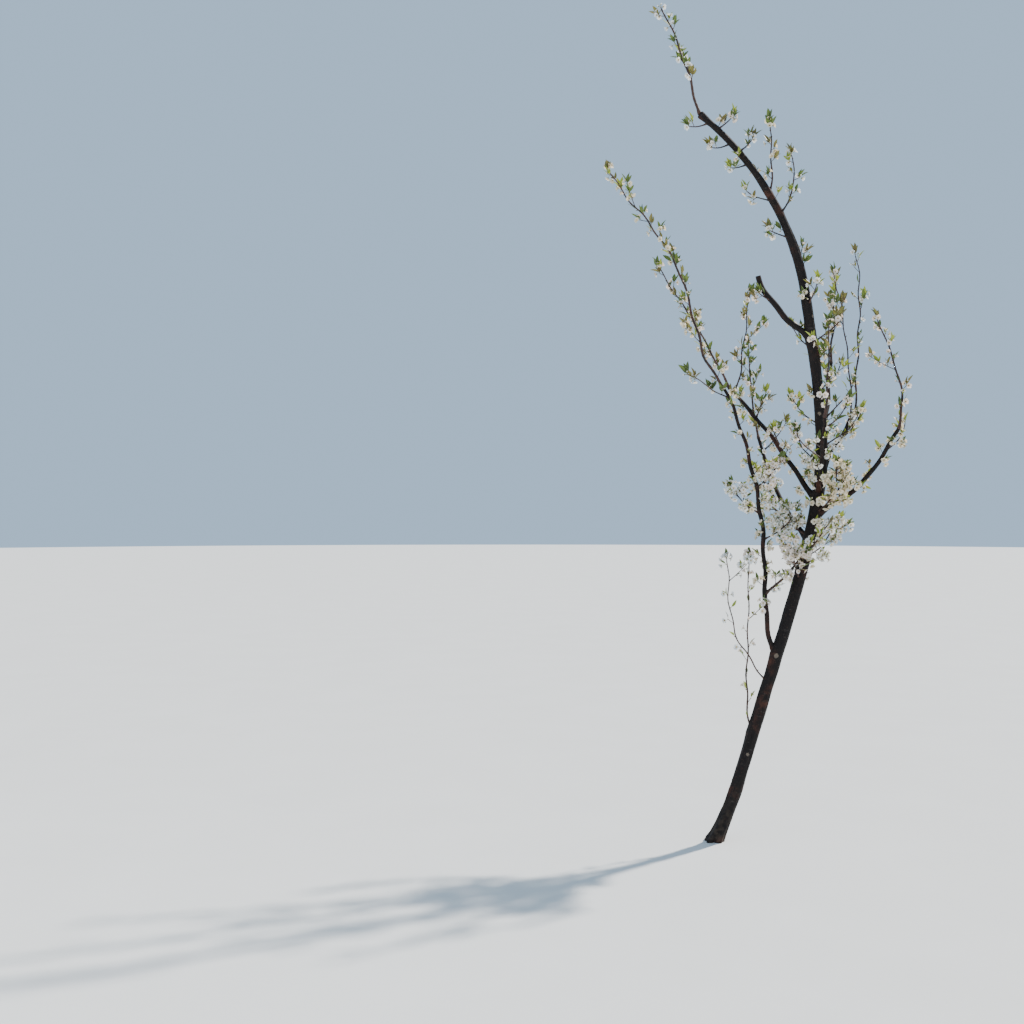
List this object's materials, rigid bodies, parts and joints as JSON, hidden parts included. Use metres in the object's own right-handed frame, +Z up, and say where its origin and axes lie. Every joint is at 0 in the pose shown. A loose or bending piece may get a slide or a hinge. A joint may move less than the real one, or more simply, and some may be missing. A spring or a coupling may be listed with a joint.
{
  "type": "young cherry tree in white blossom",
  "caption": "Young orchard cherry tree in white blossom: leaning bowed trunk, headed leader with a thin whip, sawn stub, steep boughs and long blossoming shoots.",
  "frame": {"origin": "middle of the flat cut under the trunk, at ground level", "axes": "+Z up, +X to the right and +Y away from the viewer, seen as in the picture"},
  "size_m": [1.6406, 1.0119, 4.4249],
  "materials": {
    "trunk_bark": "dark grey-brown bark with paler bands and raised lenticels",
    "bough_bark": "dark red-brown bark, smoother than the trunk's",
    "twig_bark": "thin red-brown shoots with buds",
    "blossom": "matt white petals, warm where the light comes through",
    "young_leaf": "small glossy yellow-green leaves, just open"
  },
  "bodies": {
    "root": {"trunk": "trunk_bark", "cut_stub": "bough_bark", "bough_back_left": "bough_bark", "bough_back_right": "bough_bark", "bough_front": "bough_bark", "bough_left_high": "bough_bark", "bough_left_low": "bough_bark", "bough_right_high": "bough_bark", "bough_right_low": "bough_bark", "leader_shoot_1": "blossom", "leader_shoot_2": "blossom", "leader_whip": "twig_bark", "shoot_back_left": "blossom", "shoot_back_right": "blossom", "shoot_front": "blossom", "shoot_left_long": "blossom", "shoot_left_short": "blossom", "shoot_left_side": "young_leaf", "shoot_left_upright": "blossom", "shoot_right_bend": "blossom", "shoot_right_leafy": "young_leaf", "shoot_right_tall": "blossom", "shoot_right_thin": "blossom", "spray_back_left_1": "blossom", "spray_back_left_2": "blossom", "spray_back_right_1": "blossom", "spray_back_right_2": "blossom", "spray_front_1": "blossom", "spray_front_2": "blossom", "spray_leader_left_1": "blossom", "spray_leader_left_2": "blossom", "spray_leader_left_3": "blossom", "spray_leader_low_1": "blossom", "spray_leader_low_2": "blossom", "spray_leader_right_1": "blossom", "spray_leader_right_2": "blossom", "spray_left_high_1": "blossom", "spray_left_high_2": "blossom", "spray_left_low_1": "blossom", "spray_left_low_2": "blossom", "spray_left_low_3": "blossom", "shoot_left_cross": "blossom", "spray_right_high_1": "blossom", "spray_right_low_1": "blossom", "spray_right_low_2": "blossom", "spray_stub_1": "blossom", "spray_trunk_1": "blossom", "spray_trunk_2": "blossom", "spray_trunk_3": "blossom", "spray_trunk_4": "blossom", "spray_trunk_5": "blossom", "spray_trunk_6": "blossom", "spray_trunk_7": "blossom", "spray_trunk_8": "blossom", "spray_trunk_upper_1": "blossom", "spray_trunk_upper_2": "blossom", "spray_trunk_upper_3": "blossom", "spray_trunk_upper_4": "blossom", "water_shoot_1": "twig_bark", "water_shoot_2": "twig_bark"}
  },
  "joints": []
}
